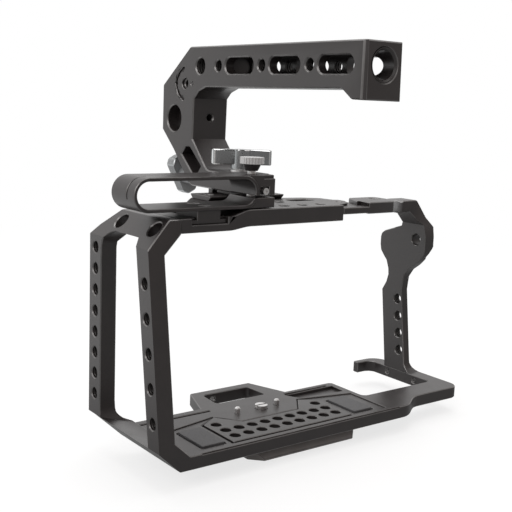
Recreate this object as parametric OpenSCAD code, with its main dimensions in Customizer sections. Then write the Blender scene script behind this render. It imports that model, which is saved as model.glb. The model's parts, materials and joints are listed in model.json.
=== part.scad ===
// Camera cage with a top handle and a drive clamp. All sizes are in millimetres.
// Measured frame: X from the outer left face to the grip side, Y from the rear edge
// of the base to the front, Z up from the underside of the base.

/* [Cage] */
// overall width of the cage
cage_w = 200; // [190:1:215]
// height of the top ledge over the underside of the base
cage_h = 108.2; // [102:0.1:118]
// depth over the side posts
cage_d = 66; // [63:0.5:74]
// thickness of the base plate
base_t = 6.4; // [5.8:0.1:8]
// thickness of the top ledge
ledge_t = 6.4; // [5.8:0.1:8]
// thickness of the drilled top block
block_t = 7.7; // [7:0.1:10]
// rise of the drilled block over the ledge
block_rise = 2.7; // [2:0.1:4]
// setback of the top's rear edge from the base's rear edge
top_back = 14.7; // [13:0.1:16]
// free gap around pressed or bolted pieces
fit = 0.1; // [0.05:0.01:0.15]
// radial gap of turning shafts
run_fit = 0.08; // [0.03:0.01:0.1]
// small play of sliding pieces
slide_fit = 0.15; // [0.1:0.01:0.25]

/* [Threads and screws] */
// bore of a quarter inch thread
quarter_d = 5.3; // [5:0.1:6]
// bore of a three eighths thread
eighths_d = 7.9; // [7.5:0.1:8.4]
// thread diameter of the cage screws
m3_d = 3; // [2.5:0.1:3.4]
// head diameter of the cage screws
m3_head_d = 5.4; // [4.8:0.1:5.8]
// head height of the cage screws
m3_head_h = 1.5; // [1.2:0.1:1.7]
// thread diameter of the grip foot screws
m2_d = 2.5; // [2:0.1:2.8]
// head diameter of the grip foot screws
m2_head_d = 4.4; // [4:0.1:4.6]

/* [Left side] */
// thickness of the left side
wall_t = 8.2; // [7.4:0.1:9.5]
// width of the slope at the left foot
foot_run = 10.8; // [9:0.1:12]
// height of the slope at the left foot
foot_rise = 10.4; // [9.5:0.1:12]
// height of the inner corner over the base
foot_in = 7.2; // [6:0.1:8.5]
// distance of the base joint from the left face
seam_base = 16; // [15:0.1:17]
// distance of the top joint from the left face
seam_top = 17; // [16.5:0.1:18]
// width of the slope at the left shoulder
shoulder_run = 11.3; // [10:0.1:12.5]
// height of the slope at the left shoulder
shoulder_rise = 12; // [11:0.1:13.5]
// height of the inner slope at the left shoulder
shoulder_in = 8.4; // [7.5:0.1:9.5]
// forward lean of the rear post
post_lean = 8.42; // [6:0.1:9]
// width of the rear post at its foot
post_w = 9.5; // [9:0.1:11]
// angle of the window's rear edge
win_lean = 8.8; // [6.5:0.1:9.4]
// width of the front post
post_front_w = 11.1; // [9.5:0.1:13]
// height of the metal over the side window
win_top = 8.7; // [8:0.1:12]
// radius at the window's top front corner
win_r_top = 9; // [5:0.5:11]
// radius at the window's bottom front corner
win_r_low = 8; // [4:0.5:10]
// bevel at the window's top rear corner
win_bevel = 3.5; // [2:0.1:5]
// how far the shoulder is cut back at the front
nose_back = 10.5; // [8:0.1:12]
// how far down that cut reaches
nose_drop = 12.2; // [10:0.1:14]
// steep part of that cut, width
nose_tip = 2.5; // [1.5:0.1:3.5]
// steep part of that cut, height
nose_tip_h = 4.4; // [3:0.1:6]
// front edge of the base plate
base_front = 49.7; // [48.8:0.1:52]
// height of the lowest thread in the rear post
rear_hole_z = 22; // [20:0.5:25]
// pitch of the threads in the rear post
rear_pitch = 15; // [13:0.5:15.5]
// height of the lowest thread in the front post
front_hole_z = 20.5; // [19:0.5:23]
// pitch of the threads in the front post
front_pitch = 10; // [9:0.5:10]
// distance of the front threads from the front edge
front_hole_in = 5.4; // [4.5:0.1:6]
// distance of the slope holes up the shoulder
slope_hole_up = 10.4; // [8:0.1:11]
// position of the rear slope hole
slope_hole_a = 20; // [18.5:0.1:23]
// position of the front slope hole
slope_hole_b = 49.2; // [40:0.1:50]
// length of the lap joints at the seams
lap = 6; // [5.6:0.1:7]
// thickness of the lap joints
lap_t = 2.8; // [2.5:0.1:3.1]

/* [Base] */
// position of the bend in the rear edge
jog_x = 148; // [144:1:152]
// length of that bend
jog_l = 18.4; // [16:0.1:21]
// forward step of the rear edge at the grip side
jog_y = 8.5; // [6:0.1:10]
// width of the rail along the grip side
rail_w = 8.7; // [8:0.1:10]
// depth of the strip behind the battery window
strip_d = 23; // [20:0.5:26]
// left edge of the battery window
bay_x = 140; // [136.5:0.5:144]
// front edge of the hook
hook_y = 75; // [73:0.5:80]
// length of the hook
hook_l = 19.3; // [16:0.1:23]
// thickness of the hook's tip
hook_t = 4; // [3.5:0.1:5]
// outer corner radius of the hook
hook_r = 9; // [6:0.1:9.5]
// inner corner radius of the hook
hook_in_r = 5; // [3:0.1:6]
// radius of the rear corner at the grip side
corner_r = 6; // [3:0.5:8]
// left end of the front bump
bump_x0 = 53.4; // [51:0.1:55]
// right end of the front bump
bump_x1 = 107.4; // [105:0.1:110]
// front edge of the bump
bump_y = 72; // [70:0.1:76]
// slope of the bump's ends
bump_slope = 8; // [6:0.1:10]
// wall around the pocket in the bump
bump_wall = 5.4; // [4:0.1:6]
// bore of the small holes in rail and bump
small_bore_d = 3; // [2.4:0.1:3.4]
// first small hole in the grip side rail
side_bore_a = 35.2; // [31:0.1:38]
// second small hole in the grip side rail
side_bore_b = 56.6; // [56.2:0.1:60]
// depth of the shallow pad recess
recess_h = 0.6; // [0.4:0.1:1]
// thickness of the perforated panel
panel_t = 2.6; // [2.2:0.1:3]
// left end of the perforated panel
panel_x = 42.4; // [41.5:0.1:43.5]
// length of the perforated panel
panel_l = 72.4; // [71.5:0.1:74]
// rear edge of the perforated panel
panel_y = 5; // [4:0.1:6]
// depth of the panel in the middle
panel_d = 19.3; // [18.5:0.1:20.5]
// depth of the panel at its ends
panel_end_d = 25.1; // [24.5:0.1:26]
// extra depth of the panel's two peaks
panel_peak = 6.1; // [5:0.1:7]
// gap around the panel
panel_gap = 0.8; // [0.3:0.1:1]
// hole diameter in the panel
vent_d = 5.4; // [4:0.1:6]
// hole pitch in the panel
vent_pitch = 7.75; // [7:0.05:7.8]
// width of a camera pad
pad_w = 12.3; // [10:0.1:13]
// depth of a camera pad
pad_d = 21.2; // [18:0.1:23]
// thickness of a camera pad
pad_t = 1.5; // [1.2:0.1:2]
// depth of the pocket that a pad lies in
pad_sink = 1.3; // [0.8:0.1:1.4]
// gap around a pad
pad_gap = 0.8; // [0.3:0.1:1]
// left edge of the left pad
pad_x = 26.5; // [25:0.1:27]
// rear edge of the pads
pad_y = 6.8; // [5.5:0.1:7.5]
// diameter of the locating pins
pin_d = 2.8; // [2.4:0.1:3]
// height of the locating pins over the base
pin_h = 3; // [2:0.1:4]
// depth of the pins in the base
pin_in = 3; // [2:0.1:4]
// step between the free and the pressed end of a pin
pin_step = 0.2; // [0.1:0.05:0.3]
// position of the pins and the camera screw from the rear edge
pin_y = 35.4; // [34.6:0.1:35.6]
// position of the left pin
pin_x = 65.9; // [62.5:0.1:68]
// distance between the two pins
pin_pitch = 24.6; // [24:0.1:27]
// position of the camera screw
screw_x = 80.7; // [77:0.1:83]

/* [Camera screw and dovetail] */
// thread diameter of the camera screw
cam_d = 6.35; // [6:0.05:6.5]
// height of the camera screw over the base
cam_up = 1.8; // [1.2:0.1:5]
// head diameter of the camera screw
cam_head_d = 8.2; // [7.8:0.1:8.3]
// head height of the camera screw
cam_head_h = 3.6; // [3:0.1:4]
// height of the dovetail plate
dove_t = 8; // [7.8:0.1:9]
// width of the dovetail plate
dove_w = 38; // [37.6:0.1:39]
// length of the dovetail plate
dove_l = 68; // [64:1:74]
// left end of the dovetail plate
dove_x = 56; // [54:0.5:58]
// rear edge of the dovetail plate
dove_y = 6.7; // [6.4:0.1:7.4]
// height of the sloped sides
dove_slope = 3; // [2.4:0.1:3.2]
// height of the lip below the slope
dove_lip = 1; // [0.8:0.1:1.6]
// bevel at the corners of the dovetail
dove_bevel = 6; // [4:0.1:8]
// thread diameter of the dovetail screws
dove_screw_d = 4; // [3.4:0.1:4.4]
// head diameter of the dovetail screws
dove_head_d = 7; // [6:0.1:7.6]
// head height of the dovetail screws
dove_head_h = 3; // [2.4:0.1:3.4]
// distance of the dovetail screws from the plate's ends
dove_screw_in = 8; // [7:0.5:9]

/* [Top] */
// start of the rise from ledge to block
ramp_x = 42.6; // [42.4:0.1:43.5]
// length of that rise
ramp_l = 12.5; // [10:0.5:13.5]
// right end of the block
block_x = 111; // [110.6:0.1:112]
// bevel of the top's front left corner
top_bevel = 10.5; // [9:0.1:12]
// thickness of the block's tongue over the grip side bar
lobe_t = 1.4; // [1.2:0.1:1.8]
// length of that tongue
lobe_l = 13.8; // [12:0.1:14]
// left edge of the accessory shoe
shoe_x = 23.1; // [23.05:0.01:23.3]
// inner width of the accessory shoe
shoe_w = 19; // [18.8:0.05:19.2]
// opening of the accessory shoe
shoe_gap = 12.7; // [12.2:0.1:13]
// inner height of the accessory shoe
shoe_h = 2; // [1.9:0.05:2.2]
// thickness of the shoe's lips
shoe_lip = 1; // [0.9:0.05:1.2]
// how far the lips start in from the rear
shoe_lip_in = 3; // [2:0.1:4]
// front end of the accessory shoe
shoe_y1 = 46; // [42:0.5:50]
// row of threads in the block, from the rear edge
block_hole_in = 7.3; // [6.5:0.1:8]
// first thread of that row
block_hole_x = 79; // [77:0.1:79.4]
// pitch of that row
block_pitch = 11.3; // [10.5:0.1:11.4]
// width of the slot in the block
slot_w = 6.8; // [5:0.1:7]
// length of the slot in the block
slot_l = 17; // [14:0.5:18]
// left end of the slot in the block
slot_x = 95.5; // [95:0.1:97]
// row of the slot, from the rear edge
slot_in = 25.3; // [24.5:0.1:27]

/* [Grip side] */
// thickness of the grip side plate
plate_t = 5.2; // [4.6:0.1:5.8]
// thickness of the ear
ear_t = 7.5; // [6.6:0.1:8.4]
// thickness of the bar
bar_t = 5.8; // [5.2:0.1:6.4]
// rise of the bar over the block
bar_rise = 0.7; // [0.3:0.1:1.2]
// thickness of the bar's low end
bar_low_t = 3.3; // [3:0.1:3.6]
// depth of the bar
bar_d = 19.9; // [19:0.1:21]
// end of the low part of the bar
tab_x = 128; // [126:0.1:130]
// start of the bar's bend
bend_x = 145; // [143:0.5:148]
// length of the bar's bend
bend_l = 31; // [28:0.5:32]
// rear edge of the shoulder, from the rear edge of the base
neck_y = 37.5; // [36.6:0.1:38.4]
// depth of the shoulder
neck_d = 12; // [11.4:0.1:13]
// width of the slope at the grip side shoulder
grip_run = 12.5; // [11:0.1:14]
// height of the slope at the grip side shoulder
grip_rise = 15.4; // [14:0.1:17]
// thread in the bar, from the bend's start
bar_hole_d = 6; // [5:0.1:6.5]
// height of the lowest thread in the grip side
grip_hole_z = 18.5; // [17:0.5:21]
// pitch of the threads in the grip side
grip_pitch = 10; // [9.5:0.1:10.2]
// bore in the ear
ear_hole_d = 6.4; // [5.6:0.1:7]

/* [Accessory rail] */
// left end of the rail
rail_x = 54; // [53:0.5:56]
// length of the rail
rail_l = 45; // [42:0.5:48]
// rear edge of the rail
rail_y = 47.5; // [46.8:0.1:48]
// width of the rail
rail_width = 17.5; // [17:0.1:18.2]
// height of the rail
rail_h = 2.3; // [2.1:0.1:2.7]
// height of the rail's square lip
rail_lip = 0.6; // [0.4:0.1:0.8]

/* [Handle] */
// width of the handle
handle_w = 21.1; // [20.4:0.1:23]
// left face of the handle
handle_x = 62.8; // [61.5:0.1:63.5]
// height of the handle's top over the base
handle_top = 185; // [175:0.5:195]
// height of the grip bar
bar_h = 19.8; // [18.5:0.1:22]
// rear end of the grip bar
handle_back = -45.4; // [-55:0.5:-44]
// front of the arm
arm_front = 108.2; // [106:0.1:112]
// inner face of the arm
arm_in = 78.8; // [76:0.1:80]
// rear end of the foot
foot_back = 40; // [38:0.5:41]
// thickness of the foot
foot_t = 9; // [8.6:0.1:10]
// gap between block and foot
foot_gap = 4.6; // [4.4:0.1:5.2]
// width of the clamp under the foot
seat_w = 13; // [11:0.1:14]
// height of the side slots
side_slot_h = 7.6; // [6:0.1:8.4]
// distance of the side slots under the top face
side_row = 9.6; // [9:0.1:10.5]
// bore of the rod socket
rod_d = 12; // [11:0.1:12.4]
// outer diameter of the rod socket
rod_sleeve_d = 14; // [13.6:0.1:14.4]
// length of the rod socket
rod_sleeve_l = 6.8; // [5:0.1:6.8]
// depth of the rod bore
rod_depth = 46; // [40:1:50]
// diameter of the hollow in the bar beyond the rod bore
hollow_d = 11.2; // [10:0.1:11.6]
// front end of that hollow
hollow_y = 52.6; // [50:0.1:53]
// diameter of the round pocket in the arm
arm_pocket_d = 13.5; // [12:0.1:14]
// depth of the pockets in the arm
arm_pocket_deep = 7; // [5:0.1:8.5]
// width of the slanted pocket in the arm
arm_slot_w = 8; // [5:0.1:8.4]
// radius of the ring groove on the boss
boss_r = 8.1; // [6.5:0.1:8.6]
// width of the ring groove
boss_groove = 1.8; // [0.8:0.1:2.2]
// diameter of the pin in the boss
hpin_d = 1.5; // [1.2:0.1:2.4]
// diameter of the recess around the boss's thread
boss_seat_d = 5.6; // [5:0.1:6.4]
// chamfer at the grip bar's rear end
end_bevel = 1.3; // [0.8:0.1:2]

/* [Handle clamp] */
// diameter of the clamp stud
stud_d = 5; // [4:0.1:5.2]
// height of the stud over the foot's underside
stud_up = 3.6; // [3.6:0.1:4.6]
// thickness of the sliding jaw
jaw_t = 5; // [4.4:0.1:5.6]
// travel of the sliding jaw
jaw_travel = 2; // [1:0.1:2.2]
// front face of the clamp knob
knob_y = 107.6; // [106:0.1:110]
// thickness of the clamp knob's wing
knob_t = 7; // [6:0.1:8]
// length of the clamp knob's wing
knob_l = 21; // [18:0.1:23]
// width of the clamp knob's wing
knob_w = 9.6; // [8.5:0.1:11]
// tilt of the clamp knob's wing
knob_turn = 117; // [0:1:180]
// hub diameter of the clamp knob
hub_d = 8.4; // [7.6:0.1:9.4]
// hub diameter of the foot knob
tee_hub_d = 10.2; // [9:0.1:11]
// length of the foot knob's bar
tee_l = 29.5; // [26:0.1:33]
// height of the foot knob's bar
tee_h = 7.3; // [6:0.1:8]
// width of the foot knob's bar
tee_w = 7; // [6:0.1:7.8]
// turn of the foot knob's bar
tee_turn = -28; // [-90:1:90]
// height of the foot knob's hub under its bar
tee_neck = 2.4; // [1.6:0.1:3.4]
// position of the foot knob from the foot's rear end
tee_in = 10; // [9:0.1:10.4]
// diameter of the foot stud
tee_stud_d = 5; // [4:0.1:5.4]
// thickness of the washer under the foot knob
washer_t = 1.4; // [1:0.1:1.8]
// diameter of the washer under the foot knob
washer_d = 11; // [10:0.1:12]

/* [Drive clamp] */
// inner width of the drive slot
drive_w = 61.1; // [58:0.1:62]
// inner height of the drive slot
drive_h = 11.7; // [10.8:0.1:13]
// wall of the band
band_t = 1.6; // [1.4:0.1:2]
// depth of the band
band_d = 20; // [17:0.5:21]
// position of the band behind the top's rear edge
band_back = 0.3; // [0:0.1:1]
// left end of the drive slot
drive_x = -4.1; // [-7:0.1:-3.5]
// gap between block and band
band_gap = 0.4; // [0.3:0.05:0.8]
// length of the solid end block
end_l = 11.5; // [10.4:0.1:12]
// how far the band's rim stands proud of the end block
rim_up = 0.8; // [0.5:0.1:1.2]
// width of the clamping slit
slit_w = 1.2; // [0.8:0.1:1.6]
// height of the slit over the underside
slit_up = 4.6; // [4.2:0.1:5.6]
// width of the foot's flange
flange_w = 18.2; // [17.6:0.05:18.6]
// thickness of the foot's flange
flange_t = 1.8; // [1.6:0.05:1.85]
// length of the foot
shoe_l = 18; // [15:0.1:19]
// width of the foot's neck
neck_w = 12.3; // [11.4:0.1:12.4]
// travel of the clamp out of the shoe
shoe_travel = 18; // [10:0.5:20]
// thread diameter of the thumb screw
thumb_d = 4; // [3:0.1:4.4]
// diameter of the thumb screw's disc
disc_d = 11.3; // [10:0.1:12]
// thickness of the thumb screw's disc
disc_t = 3; // [2.4:0.1:4]
// notches around the disc
disc_notches = 24; // [12:1:30]
// height of the collar under the disc
cone_h = 3.2; // [2.6:0.1:4]
// height of the thin stem under the collar
stem_h = 1.4; // [1:0.1:2]

/* [Hidden] */
$fn = 48;

over = 1;                                   // how far a cut runs past a face
// heights and planes that the pieces share
block_z1 = cage_h + block_rise;             // top of the block
block_z0 = block_z1 - block_t;              // underside of the block
ledge_z0 = cage_h - ledge_t;                // underside of the ledge
win_z = cage_h - win_top;                   // top of the side window
rail_x0 = cage_w - rail_w;                  // inner face of the grip side
bar_z1 = block_z1 + bar_rise;               // top of the bar
low_z1 = block_z1 - lobe_t;                 // top of the bar's low end
low_z0 = low_z1 - bar_low_t;                // underside of the bar's low end
post_y = cage_d - post_front_w;             // rear face of the front post
dove_cy = dove_y + dove_w / 2;
tripod_x = dove_x + dove_l / 2;
datum = [tripod_x, dove_cy, -dove_t];       // centre of the tripod thread, underside
rail_z1 = block_z1 + rail_h;
foot_z0 = block_z1 + foot_gap;              // underside of the handle's foot
foot_z1 = foot_z0 + foot_t;
handle_cx = handle_x + handle_w / 2;
row_z = handle_top - side_row;
bar_z0 = handle_top - bar_h;
stud_z = foot_z0 + stud_up;
rail_y1 = rail_y + rail_width;
dark = "#3c3a39";
silver = "#c4c6c8";

function arc(c, r, a0, a1, n = 8) =
    [for (i = [0:n]) c + r * [cos(a0 + (a1 - a0) * i / n), sin(a0 + (a1 - a0) * i / n)]];
function ease(t) = (1 - cos(180 * t)) / 2;
function rear_y(z) = max(0, (z - foot_rise) * tan(post_lean));
function near_y(z) = post_w + (z - foot_rise) * tan(win_lean);

module yz(x0, x1) translate([x0, 0, 0]) rotate([90, 0, 90]) linear_extrude(x1 - x0) children();
module xz(y0, y1) translate([0, y1, 0]) rotate([90, 0, 0]) linear_extrude(y1 - y0) children();
module xy(z0, z1) translate([0, 0, z0]) linear_extrude(z1 - z0) children();
module bx(y, z, r, x0, x1) translate([x0, y, z]) rotate([0, 90, 0]) cylinder(r = r, h = x1 - x0);
module by(x, z, r, y0, y1, n = $fn) translate([x, y0, z]) rotate([-90, 0, 0])
    cylinder(r = r, h = y1 - y0, $fn = n);
module bz(x, y, r, z0, z1) translate([x, y, z0]) cylinder(r = r, h = z1 - z0);
module box(x0, x1, y0, y1, z0, z1) translate([x0, y0, z0]) cube([x1 - x0, y1 - y0, z1 - z0]);
// slot along X in a plane, round ends of radius r
module slot2(x0, x1, y, r) {
    translate([x0 + r, y - r]) square([x1 - x0 - 2 * r, 2 * r]);
    translate([x0 + r, y]) circle(r);
    translate([x1 - r, y]) circle(r);
}
module round_rect(x0, x1, y0, y1, r) {
    translate([x0 + r, y0]) square([x1 - x0 - 2 * r, y1 - y0]);
    translate([x0, y0 + r]) square([x1 - x0, y1 - y0 - 2 * r]);
    for (x = [x0 + r, x1 - r], y = [y0 + r, y1 - r]) translate([x, y]) circle(r);
}
// screw from below with a hex socket, head at the bottom
module cap_screw(d, hd, hh, l) {
    difference() {
        union() {
            cylinder(d = hd, h = hh);
            cylinder(d = d, h = hh + l);
        }
        translate([0, 0, -over]) cylinder(d = hd * 0.5, h = over + hh * 0.6, $fn = 6);
    }
}

// ---------- shared places of the screws
lap_hole = seam_top + lap / 2;
lap_base_x = seam_base + lap / 2;
lap_ys = [top_back + 13.3, top_back + 35];
lap_base_ys = [12, 38];
grip_foot_x = rail_x0 + plate_t / 2;
grip_foot_ys = [46.8, 51.7];
bar_lap_x = block_x - lap / 2 + 0.2;
bar_lap_ys = [top_back + 6, top_back + 15];
rail_screw_xs = [rail_x + 4.5, rail_x + rail_l - 4.5];
rail_cy = rail_y + rail_width / 2;
dove_screw_xs = [dove_x + dove_screw_in, dove_x + dove_l - dove_screw_in];
side_bores = [side_bore_a, side_bore_b];

// ---------- base
module base_outline() polygon(concat(
    [[seam_base, 0]],
    [for (i = [0:8]) [jog_x + jog_l * i / 8, jog_y * ease(i / 8)]],
    arc([cage_w - corner_r, jog_y + corner_r], corner_r, -90, 0),
    arc([cage_w - hook_r, hook_y - hook_r], hook_r, 0, 90),
    [[cage_w - hook_l, hook_y], [cage_w - hook_l, hook_y - hook_t]],
    arc([rail_x0 - hook_in_r, hook_y - hook_t - hook_in_r], hook_in_r, 90, 0),
    arc([rail_x0 - 3, strip_d + 3], 3, 0, -90),
    arc([bay_x + 3, strip_d + 3], 3, 270, 180),
    [[bay_x, base_front - 1.5], [bay_x - 2, base_front]],
    [[bump_x1, base_front], [bump_x1 - bump_slope, bump_y],
     [bump_x0 + bump_slope, bump_y], [bump_x0, base_front], [seam_base, base_front]]));
module bump_pocket() {
    a = bump_x0 + bump_slope + bump_wall - 1;
    b = bump_x1 - bump_slope - bump_wall + 1;
    c = base_front + 2.3;
    d = bump_y - bump_wall;
    polygon(concat(arc([a + 2, d - 2], 2, 90, 180, 4), arc([a + 1, c + 2], 2, 200, 270, 4),
                   arc([b - 1, c + 2], 2, 270, 340, 4), arc([b - 2, d - 2], 2, 0, 90, 4)));
}
// outline of the perforated panel, grown by g on all sides
module panel_outline(g) {
    x0 = panel_x - g;
    x1 = panel_x + panel_l + g;
    y0 = panel_y - g;
    ye = panel_y + panel_end_d + g;
    yp = ye + panel_peak;
    ym = panel_y + panel_d + g;
    polygon([[x0, y0], [x0, ye], [x0 + 9.6 + g, yp], [x0 + 18.6 + g, ym], [x1 - 18.6 - g, ym],
             [x1 - 9.6 - g, yp], [x1, ye], [x1, y0]]);
}
pad_x2 = 2 * panel_x + panel_l - pad_x - pad_w;
// shallow recess around panel and pads, up to the panel's front outline
module recess_outline() {
    x0 = pad_x - 6.5;
    x1 = pad_x2 + pad_w + 6.5;
    ye = panel_y + panel_end_d;
    yp = ye + panel_gap + panel_peak;
    ym = panel_y + panel_d + panel_gap;
    polygon([[x0, 3.4], [x1, 3.4], [x1, ye], [panel_x + panel_l - 9.6, yp],
             [panel_x + panel_l - 18.6, ym], [panel_x + 18.6, ym], [panel_x + 9.6, yp], [x0, ye + 0.4]]);
}
module base_plate() color(dark) difference() {
    xy(0, base_t) base_outline();
    xy(-over, base_t + over) bump_pocket();
    // shallow recess for the pads and deeper one for the panel
    xy(base_t - recess_h, base_t + over) recess_outline();
    for (x = [pad_x, pad_x2]) xy(base_t - pad_sink, base_t + over)
        round_rect(x - pad_gap, x + pad_w + pad_gap, pad_y - pad_gap, pad_y + pad_d + pad_gap, 1.2);
    xy(base_t - panel_t, base_t + over) panel_outline(panel_gap);
    // grooves and shelf near the front
    box(seam_base - over, bump_x0 + 2.6, base_front - 5.8, base_front - 4.2, base_t - 1, base_t + over);
    box(bump_x1 - 3, bay_x - 6, base_front - 4.2, base_front - 2.6, base_t - 1, base_t + over);
    xy(base_t - 1.6, base_t + over) polygon([[bump_x1 - 3.4, 45], [bay_x - 3.4, 44.6],
        [bay_x - 3.4, 35], [bump_x1 + 0.6, 37.4]]);
    // fine step along the rear edge
    box(seam_base + 6, jog_x - 4, -over, 0.8, base_t - 0.5, base_t + over);
    for (y = side_bores) bx(y, base_t / 2, small_bore_d / 2, rail_x0 - over, cage_w + over);
    by((bump_x0 + bump_x1) / 2 - 8, base_t / 2, small_bore_d / 2, bump_y - bump_wall - over, bump_y + over);
    // camera screw, pins and joints
    bz(screw_x, pin_y, cam_d / 2 + run_fit, -over, base_t + over);
    for (x = [pin_x, pin_x + pin_pitch]) bz(x, pin_y, pin_d / 2 - pin_step + fit / 2,
                                             base_t - pin_in, base_t + over);
    for (x = dove_screw_xs) bz(x, dove_cy, dove_screw_d / 2 + fit / 2, -over, base_t - panel_t - 0.3);
    box(seam_base - over, seam_base + lap + fit, 4, base_front - 4, -over, lap_t);
    for (y = lap_base_ys) bz(lap_base_x, y, m3_d / 2 + fit / 2, 0, base_t - 0.8);
    for (y = grip_foot_ys) {
        bz(grip_foot_x, y, m2_head_d / 2 + fit, -over, m3_head_h + 0.1);
        bz(grip_foot_x, y, m2_d / 2 + fit, -over, base_t + over);
    }
}

// ---------- left side
module left_frame() color(dark) difference() {
    union() {
        difference() {
            intersection() {
                xz(-over, cage_d + over) polygon([[seam_base, 0], [foot_run, 0], [0, foot_rise],
                    [0, cage_h - shoulder_rise], [shoulder_run, cage_h], [seam_top, cage_h],
                    [seam_top, ledge_z0], [wall_t, ledge_z0 - shoulder_in],
                    [wall_t, base_t + foot_in], [seam_base, base_t]]);
                yz(-over, seam_top + over) polygon([[0, 0], [0, foot_rise],
                    [rear_y(cage_h), cage_h], [cage_d - nose_back, cage_h],
                    [cage_d - nose_tip, cage_h - nose_drop + nose_tip_h],
                    [cage_d, cage_h - nose_drop], [cage_d, 0]]);
            }
            // side window down to the sloping sill
            difference() {
                yz(-over, seam_top + over) polygon(concat([[near_y(base_t), base_t]],
                    arc([post_y - win_r_low, base_t + win_r_low], win_r_low, -90, 0),
                    arc([post_y - win_r_top, win_z - win_r_top], win_r_top, 0, 90),
                    [[near_y(win_z - win_bevel) + win_bevel, win_z],
                     [near_y(win_z - win_bevel), win_z - win_bevel]]));
                xz(-2 * over, cage_d + 2 * over) polygon([[0, foot_rise], [seam_base, base_t],
                    [seam_top + 2 * over, base_t], [seam_top + 2 * over, -over],
                    [-2 * over, -over], [-2 * over, foot_rise + 0.5]]);
            }
            // the foot narrows from the front post to the base's front edge
            intersection() {
                xy(-over, cage_h) polygon([[seam_top, base_front - 0.6], [seam_base, base_front],
                    [wall_t, post_y], [-over, post_y + 6.2], [-over, cage_d + over],
                    [seam_top, cage_d + over]]);
                xz(0, cage_d + 2 * over) polygon([[-2 * over, foot_rise - 0.8], [0, foot_rise],
                    [wall_t, base_t + foot_in], [seam_top, base_t + foot_in + 3.4],
                    [seam_top, -over], [-2 * over, -over]]);
            }
        }
        box(seam_top - 1, seam_top + lap, top_back + 4, cage_d - nose_back - 3, ledge_z0, ledge_z0 + lap_t);
        box(seam_base - 1, seam_base + lap, 4 + fit, base_front - 4 - fit, 0, lap_t);
    }
    // threads in the two posts
    for (k = [0:4]) {
        z = rear_hole_z + k * rear_pitch * cos(post_lean);
        bx((rear_y(z) + near_y(z)) / 2, z, quarter_d / 2, -over, wall_t + over);
    }
    for (k = [0:7]) bx(cage_d - front_hole_in, front_hole_z + k * front_pitch, quarter_d / 2,
                       -over, wall_t + over);
    // two large threads through the sloping shoulder
    for (y = [slope_hole_a, slope_hole_b])
        translate([0, y, cage_h - shoulder_rise]) rotate([0, atan2(shoulder_run, shoulder_rise), 0])
            translate([0, 0, slope_hole_up]) rotate([0, 90, 0])
                translate([0, 0, -4]) cylinder(d = eighths_d, h = 20);
    for (y = lap_ys) {
        bz(lap_hole, y, m3_head_d / 2 + fit, ledge_z0 - over, ledge_z0 + m3_head_h);
        bz(lap_hole, y, m3_d / 2 + fit, ledge_z0, ledge_z0 + lap_t + over);
    }
    for (y = lap_base_ys) {
        bz(lap_base_x, y, m3_head_d / 2 + fit, -over, m3_head_h);
        bz(lap_base_x, y, m3_d / 2 + fit, 0, lap_t + over);
    }
}

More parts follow.
